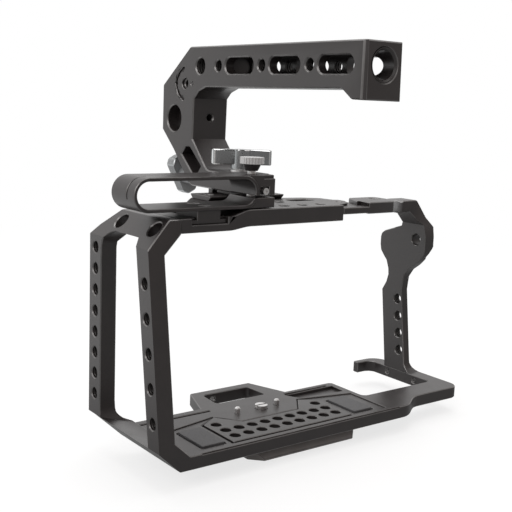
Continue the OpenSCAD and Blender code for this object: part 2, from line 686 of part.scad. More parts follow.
// ---------- top plate
front_x = rail_x + rail_l;                  // the full depth ends with the rail
module top_plate() color(dark) difference() {
    union() {
        intersection() {
            xz(top_back, cage_d) polygon(concat([[seam_top, ledge_z0]],
                [for (i = [0:8]) [ramp_x + ramp_l * i / 8, ledge_z0 + (block_z0 - ledge_z0) * ease(i / 8)]],
                [[block_x + 12, block_z0], [block_x + 12, block_z1]],
                [for (i = [8:-1:0]) [ramp_x + ramp_l * i / 8, cage_h + block_rise * ease(i / 8)]],
                [[seam_top, cage_h]]));
            xy(0, block_z1 + over) polygon([[seam_top, 0], [block_x, 0],
                [block_x, top_back + bar_d + 0.4], [block_x + 11.4, top_back + bar_d + 0.4],
                [block_x + 9.5, 44.2], [block_x + 1, 49.4], [front_x + 2, 51.5],
                [front_x, 54], [front_x, cage_d], [ramp_x + ramp_l, cage_d],
                [ramp_x, cage_d - top_bevel], [seam_top, cage_d - top_bevel]]);
        }
        // thin tongue that laps over the grip side bar
        xy(low_z1, block_z1) polygon([[block_x - 1, top_back + 3], [block_x + 2, top_back + 5.3],
            [block_x + 10.5, top_back + 9], [block_x + lobe_l, top_back + 14.5],
            [block_x + lobe_l, top_back + 20], [block_x + 11.4, top_back + bar_d + 1],
            [block_x - 1, top_back + bar_d + 1]]);
    }
    // accessory shoe
    box(shoe_x, shoe_x + shoe_w, top_back - over, shoe_y1, cage_h - shoe_lip - shoe_h, cage_h - shoe_lip);
    box(shoe_x + (shoe_w - shoe_gap) / 2, shoe_x + (shoe_w + shoe_gap) / 2, top_back - over, shoe_y1,
        cage_h - shoe_lip - shoe_h, cage_h + over);
    box(shoe_x, shoe_x + shoe_w, top_back - over, top_back + shoe_lip_in, cage_h - shoe_lip - shoe_h,
        cage_h + over);
    // threads and slot
    for (k = [0:2]) bz(block_hole_x + k * block_pitch, top_back + block_hole_in, quarter_d / 2,
                       block_z0 - over, block_z1 + over);
    bz(block_hole_x + 8, top_back + 21.4, quarter_d / 2, block_z0 - over, block_z1 + over);
    xy(block_z0 - over, block_z1 + over) slot2(slot_x, slot_x + slot_l, top_back + slot_in, slot_w / 2);
    for (x = rail_screw_xs) bz(x, rail_cy, m3_d / 2 + fit / 2, block_z0 + 1, block_z1 + over);
    // joints to the side frame and the grip side bar
    box(seam_top - over, seam_top + lap + fit, top_back + 4 - fit, cage_d - nose_back - 3 + fit,
        ledge_z0 - over, ledge_z0 + lap_t);
    for (y = lap_ys) bz(lap_hole, y, m3_d / 2 + fit / 2, ledge_z0, cage_h - 0.8);
    box(block_x - lap + 0.4 - fit, block_x + over, top_back + 2.4 - fit, top_back + 18.6 + fit,
        low_z0, low_z1);
    for (y = bar_lap_ys) {
        bz(bar_lap_x, y, m3_head_d / 2 + fit, block_z0 - over, block_z0 + m3_head_h);
        bz(bar_lap_x, y, m3_d / 2 + fit, block_z0, low_z0 + over);
    }
    bz(block_x + 7, top_back + 12, m3_d / 2, low_z1 - over, block_z1 + over);
}

// ---------- grip side: bar, shoulder, ear and plate
plate_x1 = rail_x0 + plate_t;
ear_x1 = rail_x0 + ear_t;
neck_z1 = cage_h + 0.1;                     // top of the shoulder
neck_z0 = neck_z1 - bar_t - 0.6;
ear_z = cage_h - 24;                        // centre height of the ear
module grip_side_outline() polygon(concat(
    [[39.8, base_t], [42, base_t + 2], [43.8, base_t + 4.6], [49.5, ear_z - 29.8],
     [48.6, ear_z - 22], [45.3, ear_z - 17.2], [39.5, ear_z - 13], [35.9, ear_z - 9.8],
     [34.2, ear_z - 6.5], [33.8, ear_z - 3.7], [33.9, ear_z + 3.5], [34.4, ear_z + 6.4],
     [35.3, ear_z + 9.2], [neck_y, ear_z + 14], [neck_y, neck_z1 - 3], [neck_y + neck_d, neck_z1 - 3],
     [neck_y + neck_d, ear_z + 15.6], [52.1, ear_z + 9.6], [52.6, ear_z + 7.6],
     [58, ear_z + 5.8], [65.8, ear_z + 3.1], [68.2, ear_z + 1.4], [69.1, ear_z - 1],
     [69.2, ear_z - 5.5], [68.4, ear_z - 9], [66, ear_z - 11.8], [63.4, ear_z - 14.4],
     [61.6, ear_z - 19], [61.2, ear_z - 22.5], [62, ear_z - 27], [65, ear_z - 32.1],
     [62.2, base_t + 24], [59.6, base_t + 3], [59.3, base_t]]));
module grip_frame() color(dark) difference() {
    union() {
        // low end of the bar with its tongue inside the block
        xy(low_z0, low_z1) polygon([[block_x, top_back], [tab_x + 1, top_back],
            [tab_x + 3, top_back + bar_d], [block_x, top_back + bar_d]]);
        box(block_x - lap + 0.4, block_x + 1, top_back + 2.4, top_back + 18.6, low_z0, low_z1);
        // bar and shoulder
        intersection() {
            xz(0, 80) polygon(concat(
                [for (i = [0:8]) [bend_x + 2 + (bend_l - 5) * i / 8,
                                  bar_z1 - bar_t - (bar_z1 - bar_t - neck_z0) * ease(i / 8)]],
                [[rail_x0 - 10.3, neck_z0], [rail_x0, ear_z + 9.8], [rail_x0, ear_z + 6],
                 [ear_x1, ear_z + 6], [ear_x1, neck_z1 - grip_rise],
                 [ear_x1 - grip_run, neck_z1]],
                [for (i = [8:-1:0]) [bend_x + 2 + (bend_l - 5) * i / 8,
                                     bar_z1 - (bar_z1 - neck_z1) * ease(i / 8)]],
                [[tab_x - 3, bar_z1], [tab_x - 3, bar_z1 - bar_t]]));
            xy(0, bar_z1 + over) polygon([[tab_x, top_back], [bend_x, top_back],
                [bend_x + bend_l, neck_y], [cage_w + over, neck_y], [cage_w + over, neck_y + neck_d],
                [bend_x + bend_l - 1, neck_y + neck_d], [bend_x + 6, top_back + bar_d],
                [tab_x + 4, top_back + bar_d], [tab_x - 2, top_back + 7.3],
                [tab_x, top_back + 7.3]]);
        }
        // plate and ear
        intersection() {
            xz(30, 75) polygon([[rail_x0, base_t], [cage_w, base_t], [cage_w - 1.5, base_t + 0.8],
                [plate_x1 + 0.6, base_t + 2.8], [plate_x1, base_t + 5.6], [plate_x1, ear_z - 14.2],
                [plate_x1 - 1.6, ear_z - 8.6], [ear_x1, ear_z - 2.2], [ear_x1, neck_z1 - grip_rise],
                [ear_x1 - grip_run, neck_z1], [rail_x0 - 10.3, neck_z1], [rail_x0 - 10.3, neck_z0],
                [rail_x0, ear_z + 9.8]]);
            yz(rail_x0 - 20, cage_w + over) grip_side_outline();
        }
    }
    // threads in the plate, bore in the ear, bore in the bar
    for (k = [0:3]) bx(48.9 + 1.22 * k, grip_hole_z + k * grip_pitch, quarter_d / 2,
                       rail_x0 - over, cage_w + over);
    bx(41.1, ear_z + 1.0, ear_hole_d / 2, rail_x0 - over, cage_w + over);
    bz(bend_x - 0.5, top_back + 13.8, bar_hole_d / 2, bar_z1 - bar_t - over, bar_z1 + over);
    for (y = bar_lap_ys) bz(bar_lap_x, y, m3_d / 2 + fit / 2, low_z0 - over, low_z1 + over);
    bz(block_x + 7, top_back + 12, m3_d / 2, low_z0 - over, low_z1 + over);
    for (y = grip_foot_ys) bz(grip_foot_x, y, m2_d / 2 + fit / 2, base_t - over, base_t + 5.4);
}

// ---------- inserts and fasteners of the cage
module vent_panel() color("#474441") difference() {
    xy(base_t - panel_t, base_t) panel_outline(0);
    for (k = [0:8], y = [6.4, 14.1])
        bz(panel_x + panel_l / 2 + (k - 4) * vent_pitch, panel_y + y, vent_d / 2,
           base_t - panel_t - over, base_t + over);
    for (s = [-4, 4])
        bz(panel_x + panel_l / 2 + s * vent_pitch, panel_y + 22.2, vent_d / 2,
           base_t - panel_t - over, base_t + over);
}
module camera_pads() color("#6b6b6b")
    for (x = [pad_x, pad_x2])
        xy(base_t - pad_sink, base_t - pad_sink + pad_t)
            round_rect(x, x + pad_w, pad_y, pad_y + pad_d, 1);
module locating_pins() color(silver)
    for (x = [pin_x, pin_x + pin_pitch]) {
        bz(x, pin_y, pin_d / 2 - pin_step, base_t - pin_in, base_t);
        bz(x, pin_y, pin_d / 2, base_t, base_t + pin_h - 0.6);
        translate([x, pin_y, base_t + pin_h - 0.6])
            cylinder(r1 = pin_d / 2, r2 = pin_d / 2 - 0.5, h = 0.6);
    }
module camera_screw() color(silver) difference() {
    union() {
        bz(screw_x, pin_y, cam_d / 2, -1, base_t - 1);
        bz(screw_x, pin_y, cam_d / 2 - 0.4, base_t - 1.5, base_t + 0.5);
        bz(screw_x, pin_y, cam_d / 2, base_t, base_t + cam_up);
        bz(screw_x, pin_y, cam_head_d / 2, -0.3 - cam_head_h, -0.3);
    }
    box(screw_x - cam_d, screw_x + cam_d, pin_y - 0.6, pin_y + 0.6, base_t + cam_up - 1, base_t + cam_up + over);
    translate([screw_x, pin_y, -0.3 - cam_head_h - over]) cylinder(d = 4.6, h = over + 2.2, $fn = 6);
}
module dovetail_plate() color("#37332f") {
    y1 = dove_y + dove_w;
    difference() {
        intersection() {
            yz(dove_x, dove_x + dove_l) polygon([[dove_y, -dove_t], [dove_y, dove_lip - dove_t],
                [dove_y + dove_slope, dove_lip + dove_slope - dove_t], [dove_y + dove_slope, 0],
                [y1 - dove_slope, 0], [y1 - dove_slope, dove_lip + dove_slope - dove_t],
                [y1, dove_lip - dove_t], [y1, -dove_t]]);
            xy(-dove_t - over, over) polygon([[dove_x + dove_bevel, dove_y],
                [dove_x + dove_l - dove_bevel, dove_y], [dove_x + dove_l, dove_y + dove_bevel],
                [dove_x + dove_l, y1 - dove_bevel], [dove_x + dove_l - dove_bevel, y1],
                [dove_x + dove_bevel, y1], [dove_x, y1 - dove_bevel], [dove_x, dove_y + dove_bevel]]);
        }
        bz(tripod_x, dove_cy, quarter_d / 2, -dove_t - over, over);
        bz(tripod_x + 14, dove_cy, eighths_d / 2, -dove_t - over, over);
        // the camera screw's head is held in a stepped hole
        bz(screw_x, pin_y, cam_head_d / 2 + 0.2, -cam_head_h - 0.6, over);
        bz(screw_x, pin_y, 3.2, -dove_t - over, 0);
        for (x = dove_screw_xs) {
            bz(x, dove_cy, dove_head_d / 2 + fit, -dove_t - over, -dove_t + dove_head_h + 0.4);
            bz(x, dove_cy, dove_screw_d / 2 + fit, -dove_t, over);
        }
    }
}
module dovetail_screws() color(silver)
    for (x = dove_screw_xs) translate([x, dove_cy, 0.4 - dove_t])
        cap_screw(dove_screw_d, dove_head_d, dove_head_h, dove_t - dove_head_h + base_t - panel_t - 1.2);
module frame_screws() color(silver) {
    for (y = lap_ys) translate([lap_hole, y, ledge_z0])
        cap_screw(m3_d, m3_head_d, m3_head_h, ledge_t - m3_head_h - 1.2);
    for (y = lap_base_ys) translate([lap_base_x, y, 0])
        cap_screw(m3_d, m3_head_d, m3_head_h, base_t - m3_head_h - 1.2);
    for (y = bar_lap_ys) translate([bar_lap_x, y, block_z0])
        cap_screw(m3_d, m3_head_d, m3_head_h, low_z1 - block_z0 - m3_head_h - 0.4);
    for (y = grip_foot_ys) translate([grip_foot_x, y, 0.1])
        cap_screw(m2_d, m2_head_d, m3_head_h, base_t + 5 - m3_head_h);
}
module accessory_rail() color("#3a3836") {
    in = rail_h - rail_lip;
    difference() {
        yz(rail_x, rail_x + rail_l) polygon([[rail_y + in, block_z1], [rail_y, block_z1 + in],
            [rail_y, rail_z1], [rail_y1, rail_z1], [rail_y1, block_z1 + in], [rail_y1 - in, block_z1]]);
        for (x = rail_screw_xs) {
            bz(x, rail_cy, m3_head_d / 2 + fit, rail_z1 - m3_head_h - 0.15, rail_z1 + over);
            bz(x, rail_cy, m3_d / 2 + fit, block_z1 - over, rail_z1);
        }
    }
}
module rail_screws() color(silver)
    for (x = rail_screw_xs) translate([x, rail_cy, rail_z1 - 0.15]) mirror([0, 0, 1])
        cap_screw(m3_d, m3_head_d, m3_head_h, rail_h + block_t - m3_head_h - 1.6);

// ---------- handle
arm_low = foot_z0 + 1.2;
stud_y0 = foot_back + 16;                   // rear end of the clamp stud
jaw_y0 = rail_y1 - 1.4;                     // rear face of the jaw's upper part
cavity_y1 = jaw_y0 + jaw_t + jaw_travel + 0.6;
seat_x0 = handle_cx - seat_w / 2;
seat_x1 = handle_cx + seat_w / 2;
under = rail_h - rail_lip;                  // depth of the rail's undercut
boss_y = 86.7;
boss_z = bar_z0 + 1.6;
boss_pin_in = 6.3;
ring_y = boss_y + 0.8;                      // centre of the half ring around the boss
ring_deep = 1.2;
module handle_outline() polygon(concat(
    [[handle_back, handle_top], [82.9, handle_top], [arm_front - 1.2, handle_top - 18],
     [arm_front, handle_top - 20], [arm_front, handle_top - 42.2], [96.4, foot_z0 + 16.9],
     [81.6, arm_low], [78.4, foot_z0], [foot_back, foot_z0], [foot_back, foot_z1]],
    [[63.2, foot_z1], [65.2, foot_z1 + 0.6], [67, foot_z1 + 2.2], [arm_in, handle_top - 45.8],
     [arm_in - 0.4, bar_z0 - 5.8], [74.5, bar_z0 - 2.2], [68.2, bar_z0]],
    [[-31.9, bar_z0 + 0.4], [-37.9, bar_z0 - 3.8], [handle_back - 0.6, bar_z0 - 4]]));
module side_slot(y0, y1) yz(handle_x - over, handle_x + handle_w + over)
    slot2(y0, y1, row_z, side_slot_h / 2);
module handle_frame() color(dark) difference() {
    union() {
        yz(handle_x, handle_x + handle_w) handle_outline();
        // seat on the rail with the fixed rear jaw
        yz(seat_x0, seat_x1) polygon([[rail_y - 5.5, foot_z0 + 1], [rail_y - 5.5, block_z1 + 0.3],
            [rail_y + under - 0.3 - 0.3, block_z1 + 0.3], [rail_y - 0.3, block_z1 + under],
            [rail_y - 0.3, rail_z1 + 0.05], [rail_y1 - 4, rail_z1 + 0.05], [rail_y1 - 4, foot_z0 + 1]]);
    }
    // row of threads and slots through the grip bar
    bx(73, row_z, eighths_d / 2, handle_x - over, handle_x + handle_w + over);
    bx(57.4, row_z, quarter_d / 2, handle_x - over, handle_x + handle_w + over);
    side_slot(29, 51.5);
    bx(22.9, row_z, quarter_d / 2, handle_x - over, handle_x + handle_w + over);
    side_slot(-4.6, 17.3);
    bx(-10.9, row_z, quarter_d / 2, handle_x - over, handle_x + handle_w + over);
    side_slot(-38.5, -16.4);
    // rod bore with its sleeve seat
    by(handle_cx, row_z, rod_d / 2, handle_back - over, handle_back + rod_depth);
    by(handle_cx, row_z, rod_sleeve_d / 2 + fit / 2, handle_back - over, handle_back + rod_sleeve_l);
    by(handle_cx, row_z, hollow_d / 2, handle_back + rod_depth - 1, hollow_y);
    // pockets of the arm, both sides
    for (s = [0, 1]) translate([s * 2 * handle_cx, 0, 0]) mirror([s, 0, 0]) {
        bx(96.6, foot_z0 + 33.5, arm_pocket_d / 2, handle_x - over, handle_x + arm_pocket_deep);
        intersection() {
            translate([handle_x - over, 79.6, foot_z0 + 13]) rotate([40.4, 0, 0])
                translate([0, -8.6, -arm_slot_w / 2]) cube([over + arm_pocket_deep, 17.2, arm_slot_w]);
            box(handle_x - 2 * over, handle_x + 2 * arm_pocket_deep, 60, 100, foot_z0, foot_z0 + 19.5);
        }
        // half ring groove with three notches
        intersection() {
            difference() {
                bx(ring_y, boss_z, boss_r, handle_x - over, handle_x + ring_deep);
                bx(ring_y, boss_z, boss_r - boss_groove, handle_x - 2 * over, handle_x + ring_deep + over);
            }
            box(handle_x - over, handle_x + ring_deep + over, ring_y + 0.6, ring_y + boss_r + over,
                boss_z - boss_r - over, boss_z + boss_r + over);
        }
        for (a = [-80, 0, 80]) bx(ring_y + (boss_r - boss_groove / 2) * cos(a),
            boss_z + (boss_r - boss_groove / 2) * sin(a), boss_groove * 0.72, handle_x - over,
            handle_x + ring_deep);
        bx(boss_y, boss_z, boss_seat_d / 2, handle_x - over, handle_x + 1);
        // chamfer of the rear end's upright edges
        xy(bar_z0 - 10, handle_top + over) polygon([[handle_x - over, handle_back - over],
            [handle_x + end_bevel, handle_back - over], [handle_x + end_bevel, handle_back],
            [handle_x, handle_back + end_bevel], [handle_x - over, handle_back + end_bevel]]);
    }
    bx(boss_y, boss_z, 1.6, handle_x - over, handle_x + 6);
    bx(boss_y - boss_pin_in, boss_z, hpin_d / 2, handle_x - over, handle_x + 5);
    by(handle_cx, foot_z0 + 34.5, 1.8, arm_in - 2, arm_in + 10);
    // foot: stud bores and the jaw's cavity
    by(handle_cx, stud_z, stud_d / 2 + run_fit, stud_y0 - 0.6, arm_front);
    box(seat_x0 - slide_fit, seat_x1 + slide_fit, jaw_y0 - 0.5, cavity_y1, foot_z0 - over,
        stud_z + stud_d / 2 + 1.2 + slide_fit);
    bz(handle_cx, foot_back + tee_in, tee_stud_d / 2 + run_fit, block_z1, foot_z1 + over);
}
module rod_socket() color("#55514d") difference() {
    by(handle_cx, row_z, rod_sleeve_d / 2, handle_back, handle_back + rod_sleeve_l);
    by(handle_cx, row_z, rod_d / 2, handle_back - over, handle_back + rod_sleeve_l + over);
    translate([handle_cx, handle_back - 0.01, row_z]) rotate([-90, 0, 0])
        cylinder(r1 = rod_d / 2 + 0.7, r2 = rod_d / 2, h = 0.7);
}
module handle_pin() color(silver)
    bx(boss_y - boss_pin_in, boss_z, hpin_d / 2 - fit / 4, handle_x + 0.2, handle_x + 5);
module foot_washer() color(silver) difference() {
    bz(handle_cx, foot_back + tee_in, washer_d / 2, foot_z1, foot_z1 + washer_t);
    bz(handle_cx, foot_back + tee_in, tee_stud_d / 2 + run_fit + 0.1, foot_z1 - over,
       foot_z1 + washer_t + over);
}
tee_z0 = foot_z1 + washer_t + 0.1;
module foot_knob() color("#9a9c9e") difference() {
    translate([handle_cx, foot_back + tee_in, 0]) rotate([0, 0, tee_turn]) {
        xy(tee_z0 + tee_neck, tee_z0 + tee_neck + tee_h) difference() {
            union() {
                translate([-tee_l / 2, -tee_w / 2]) square([tee_l, tee_w]);
                circle(tee_hub_d / 2);
            }
            for (s = [-1, 1], t = [-1, 1]) translate([s * tee_l / 2, t * tee_w / 2])
                rotate([0, 0, 45]) square(1.6, center = true);
        }
        bz(0, 0, tee_hub_d / 2, tee_z0, tee_z0 + tee_neck + tee_h);
    }
    bz(handle_cx, foot_back + tee_in, tee_stud_d / 2, tee_z0 - over, tee_z0 + 6);
}
module foot_stud() color(silver)
    bz(handle_cx, foot_back + tee_in, tee_stud_d / 2, rail_z1 + 0.4, tee_z0 + 6);
module clamp_jaw() color("#34322f") difference() {
    yz(seat_x0, seat_x1) polygon([[rail_y1 - under + 0.3 + 0.3, block_z1 + 0.3],
        [rail_y1 + 0.3, block_z1 + under], [rail_y1 + 0.3, rail_z1 + 0.6], [jaw_y0, foot_z0 - 0.3],
        [jaw_y0, stud_z + stud_d / 2 + 1.2], [jaw_y0 + jaw_t, stud_z + stud_d / 2 + 1.2],
        [jaw_y0 + jaw_t, block_z1 + 0.3]]);
    by(handle_cx, stud_z, stud_d / 2 + run_fit, jaw_y0 - 10, jaw_y0 + jaw_t + over);
}
hub_y0 = knob_y - knob_t - 8;               // rear end of the clamp knob's hub
module clamp_stud() color(silver)
    by(handle_cx, stud_z, stud_d / 2, stud_y0, knob_y - 2);
module clamp_knob() color("#a9ada9") difference() {
    translate([handle_cx, 0, stud_z]) {
        xz(knob_y - knob_t, knob_y) rotate([0, 0, knob_turn]) polygon([
            [-knob_l / 2, -knob_w / 4], [-knob_l / 2 + 2.6, -knob_w / 2],
            [knob_l / 2 - 2.6, -knob_w / 2], [knob_l / 2, -knob_w / 4], [knob_l / 2, knob_w / 4],
            [knob_l / 2 - 2.6, knob_w / 2], [-knob_l / 2 + 2.6, knob_w / 2],
            [-knob_l / 2, knob_w / 4]]);
        by(0, 0, hub_d / 2 + 0.3, hub_y0, knob_y);
    }
    by(handle_cx, stud_z, stud_d / 2, hub_y0 - over, knob_y - 2);
}

// ---------- drive clamp in the accessory shoe
band_z0 = block_z1 + band_gap;
slot_z0 = band_z0 + band_t;
slot_z1 = slot_z0 + drive_h;
band_z1 = slot_z1 + band_t;
band_y0 = top_back + band_back;
band_y1 = band_y0 + band_d;
drive_x1 = drive_x + drive_w;
end_x1 = drive_x1 + end_l;
thumb_x = drive_x1 + 4.4;
thumb_y = band_y0 + band_d / 2;
slit_z0 = band_z0 + slit_up;
shoe_cx = shoe_x + shoe_w / 2;
flange_z0 = cage_h - shoe_lip - shoe_h + 0.1;
foot_y0 = band_y0 + 1.2;
foot_screw_ys = [foot_y0 + 4.5, foot_y0 + shoe_l - 4.5];
module drive_band() color(dark) difference() {
    r = drive_h / 2;
    union() {
        xz(band_y0, band_y1) {
            translate([drive_x + r, band_z0]) square([end_x1 - drive_x - r, band_z1 - band_z0]);
            translate([drive_x + r, band_z0 + band_t + r]) circle(r + band_t);
        }
    }
    xz(band_y0 - over, band_y1 + over) slot2(drive_x, drive_x1, slot_z0 + r, r);
    // the band's rim stands proud of the end block
    xz(band_y0 - over, band_y0 + rim_up) difference() {
        translate([drive_x1 - r, band_z0 - over]) square([end_l + r + over, band_z1 - band_z0 + 2 * over]);
        slot2(drive_x - band_t, drive_x1 + band_t, slot_z0 + r, r + band_t);
    }
    // clamping slit, open into the drive slot
    box(drive_x1 - 3, end_x1 + over, band_y0 - over, band_y1 + over, slit_z0, slit_z0 + slit_w);
    // step at the block's top and pocket in its rear face
    box(end_x1 - 6.4, end_x1 + over, band_y0 - over, band_y0 + rim_up + 1.2, band_z1 - 1.6, band_z1 + over);
    box(thumb_x - 1.4, end_x1 - 3.4, band_y0 - over, band_y0 + rim_up + 1.6, slit_z0 + slit_w - 0.01,
        slit_z0 + slit_w + 3.8);
    by(thumb_x + 1.1, slit_z0 + slit_w + 1.8, 1, band_y0, band_y0 + rim_up + 5.2);
    bz(thumb_x, thumb_y, thumb_d / 2 + run_fit, band_z0 + 1.4, band_z1 + over);
    // fine groove around the round left end
    intersection() {
        difference() {
            by(drive_x + r, slot_z0 + r, r + band_t + 1, band_y0 + 6, band_y0 + 6.8);
            by(drive_x + r, slot_z0 + r, r + band_t - 0.5, band_y0 + 5, band_y0 + 8);
        }
        box(drive_x - 10, drive_x + r + 1.5, band_y0, band_y1, slot_z0 + r - 2, band_z1 + over);
    }
    for (y = foot_screw_ys) bz(shoe_cx, y, m3_head_d / 2 + fit, slot_z0 - 0.9, slot_z0 + over);
    for (y = foot_screw_ys) bz(shoe_cx, y, m3_d / 2 + fit, band_z0 - over, slot_z0);
}
module shoe_foot() color("#4a4743") difference() {
    union() {
        box(shoe_cx - flange_w / 2, shoe_cx + flange_w / 2, foot_y0, foot_y0 + shoe_l,
            flange_z0, flange_z0 + flange_t);
        box(shoe_cx - neck_w / 2, shoe_cx + neck_w / 2, foot_y0, foot_y0 + shoe_l,
            flange_z0, band_z0);
    }
    for (y = foot_screw_ys) bz(shoe_cx, y, m3_d / 2 + fit / 2, flange_z0 + 0.8, band_z0 + over);
}
module foot_screws() color(silver)
    for (y = foot_screw_ys) translate([shoe_cx, y, slot_z0 - 0.1]) mirror([0, 0, 1])
        cap_screw(m3_d, m3_head_d, 0.8, slot_z0 - flange_z0 - 2);
cone_z = band_z1 + stem_h;
module thumb_screw() color(silver) difference() {
    union() {
        bz(thumb_x, thumb_y, thumb_d / 2, band_z0 + 1.7, cone_z + cone_h + 0.5);
        bz(thumb_x, thumb_y, disc_d / 2, cone_z + cone_h, cone_z + cone_h + disc_t);
    }
    for (k = [0:disc_notches - 1]) rotate_about(k * 360 / disc_notches, thumb_x, thumb_y)
        bz(thumb_x + disc_d / 2 + 0.2, thumb_y, 0.55, cone_z + cone_h - over,
           cone_z + cone_h + disc_t + over);
}
module rotate_about(a, x, y) translate([x, y, 0]) rotate([0, 0, a]) translate([-x, -y, 0]) children();
module thumb_cone() color("#3b3530") translate([thumb_x, thumb_y, cone_z]) difference() {
    cylinder(r1 = thumb_d / 2 + 0.9, r2 = disc_d / 2 - 1.2, h = cone_h);
    translate([0, 0, -over]) cylinder(r = thumb_d / 2, h = cone_h + 2 * over);
}
module pocket_screw() color(silver) difference() {
    union() {
        by(thumb_x + 1.1, slit_z0 + slit_w + 1.8, 1 - fit / 2, band_y0 + rim_up + 1, band_y0 + rim_up + 5);
        by(thumb_x + 1.1, slit_z0 + slit_w + 1.8, 1.6, band_y0 - 0.3, band_y0 + rim_up + 1.6);
    }
    by(thumb_x + 1.1, slit_z0 + slit_w + 1.8, 0.8, band_y0 - 0.3 - over, band_y0 + 0.5, 6);
}

translate(-datum) {
    base_plate();
    left_frame();
    top_plate();
    grip_frame();
    vent_panel();
    camera_pads();
    locating_pins();
    camera_screw();
    dovetail_plate();
    dovetail_screws();
    frame_screws();
    accessory_rail();
    rail_screws();
    handle_frame();
    rod_socket();
    handle_pin();
    foot_washer();
    foot_knob();
    foot_stud();
    clamp_jaw();
    clamp_stud();
    clamp_knob();
    drive_band();
    shoe_foot();
    foot_screws();
    thumb_screw();
    thumb_cone();
    pocket_screw();
}
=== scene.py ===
# Looks of the camera cage: chamfered metal pieces, satin anodised and steel surfaces,
# soft studio light and the photograph's view. Lengths are in metres, and in mm where a
# comment says so.
import json
import math

import bmesh
import bpy
from mathutils import Matrix, Vector
from mathutils.bvhtree import BVHTree
from mathutils.kdtree import KDTree


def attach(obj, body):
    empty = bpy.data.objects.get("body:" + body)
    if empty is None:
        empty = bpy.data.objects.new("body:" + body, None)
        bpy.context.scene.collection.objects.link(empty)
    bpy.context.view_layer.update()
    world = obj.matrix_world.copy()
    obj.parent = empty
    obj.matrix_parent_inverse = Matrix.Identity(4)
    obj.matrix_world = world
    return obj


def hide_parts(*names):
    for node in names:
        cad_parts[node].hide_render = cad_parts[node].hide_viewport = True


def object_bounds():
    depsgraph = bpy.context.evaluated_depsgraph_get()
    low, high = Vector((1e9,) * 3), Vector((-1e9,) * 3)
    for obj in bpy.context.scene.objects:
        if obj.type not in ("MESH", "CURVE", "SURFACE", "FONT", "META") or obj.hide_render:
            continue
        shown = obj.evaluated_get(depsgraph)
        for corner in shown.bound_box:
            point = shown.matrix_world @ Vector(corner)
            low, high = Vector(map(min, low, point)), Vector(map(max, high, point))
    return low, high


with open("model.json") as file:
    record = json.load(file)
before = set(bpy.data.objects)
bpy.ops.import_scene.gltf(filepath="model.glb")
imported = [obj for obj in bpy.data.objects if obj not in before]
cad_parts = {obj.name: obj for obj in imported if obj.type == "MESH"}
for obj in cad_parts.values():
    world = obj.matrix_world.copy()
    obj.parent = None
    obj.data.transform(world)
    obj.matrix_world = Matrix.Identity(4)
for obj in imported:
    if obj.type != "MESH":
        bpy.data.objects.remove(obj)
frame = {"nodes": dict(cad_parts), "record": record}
nodes = frame["nodes"]
cad_lo, cad_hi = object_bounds()
MM = 0.001


# ---------- node helpers
def new_material(name):
    """A material, its node tree, emptied, and the surface socket of its output."""
    m = bpy.data.materials.new(name)
    m.use_nodes = True
    nt = m.node_tree
    nt.nodes.clear()
    return m, nt, nt.nodes.new("ShaderNodeOutputMaterial").inputs[0]


def add(nt, kind, **sockets):
    n = nt.nodes.new(kind)
    for k, v in sockets.items():
        n.inputs[k].default_value = v
    return n


def noise(nt, coords, scale, detail, rough):
    n = add(nt, "ShaderNodeTexNoise", Scale=scale, Detail=detail, Roughness=rough)
    nt.links.new(coords, n.inputs["Vector"])
    return n.outputs["Fac"]


def remap(nt, value, lo, hi, a=0.3, b=0.7):
    """Brings a value between a and b to one between lo and hi."""
    n = add(nt, "ShaderNodeMapRange")
    n.inputs["From Min"].default_value = a
    n.inputs["From Max"].default_value = b
    n.inputs["To Min"].default_value = lo
    n.inputs["To Max"].default_value = hi
    nt.links.new(value, n.inputs["Value"])
    return n.outputs["Result"]


def tint(nt, fac, c0, c1):
    """A colour between c0 and c1."""
    n = nt.nodes.new("ShaderNodeMix")
    n.data_type = "RGBA"
    nt.links.new(fac, n.inputs["Factor"])
    n.inputs[6].default_value = (*c0, 1)
    n.inputs[7].default_value = (*c1, 1)
    return n.outputs[2]


def either(nt, fac, first, second):
    """Shows the first shader where the factor is 0 and the second where it is 1."""
    n = nt.nodes.new("ShaderNodeMixShader")
    nt.links.new(fac, n.inputs[0])
    nt.links.new(first, n.inputs[1])
    nt.links.new(second, n.inputs[2])
    return n.outputs[0]


# ---------- surfaces
SLOW_SCALE = 90.0        # scale of the slow change of colour and gloss
GRAIN_STRENGTH = 0.35    # strength of the blasted grain


def surface(name, dark, light, rough, metallic, spec, grain, depth, spread=0.06):
    """Metal or plastic: a slow change of colour and gloss, and a fine blasted grain."""
    m, nt, shown = new_material(name)
    b = nt.nodes.new("ShaderNodeBsdfPrincipled")
    nt.links.new(b.outputs[0], shown)
    at = nt.nodes.new("ShaderNodeTexCoord").outputs["Object"]
    slow = noise(nt, at, SLOW_SCALE, 4.0, 0.5)
    fine = noise(nt, at, grain, 2.0, 0.6)
    b.inputs["Metallic"].default_value = metallic
    b.inputs["Specular IOR Level"].default_value = spec
    nt.links.new(tint(nt, remap(nt, slow, 0.0, 1.0), dark, light), b.inputs["Base Color"])
    mid = add(nt, "ShaderNodeMath")
    mid.operation = "ADD"
    nt.links.new(remap(nt, slow, rough - spread / 2, rough + spread / 2), mid.inputs[0])
    nt.links.new(remap(nt, fine, -spread / 2, spread / 2), mid.inputs[1])
    nt.links.new(mid.outputs[0], b.inputs["Roughness"])
    bump = add(nt, "ShaderNodeBump", Strength=GRAIN_STRENGTH, Distance=depth)
    nt.links.new(fine, bump.inputs["Height"])
    nt.links.new(bump.outputs[0], b.inputs["Normal"])
    return m


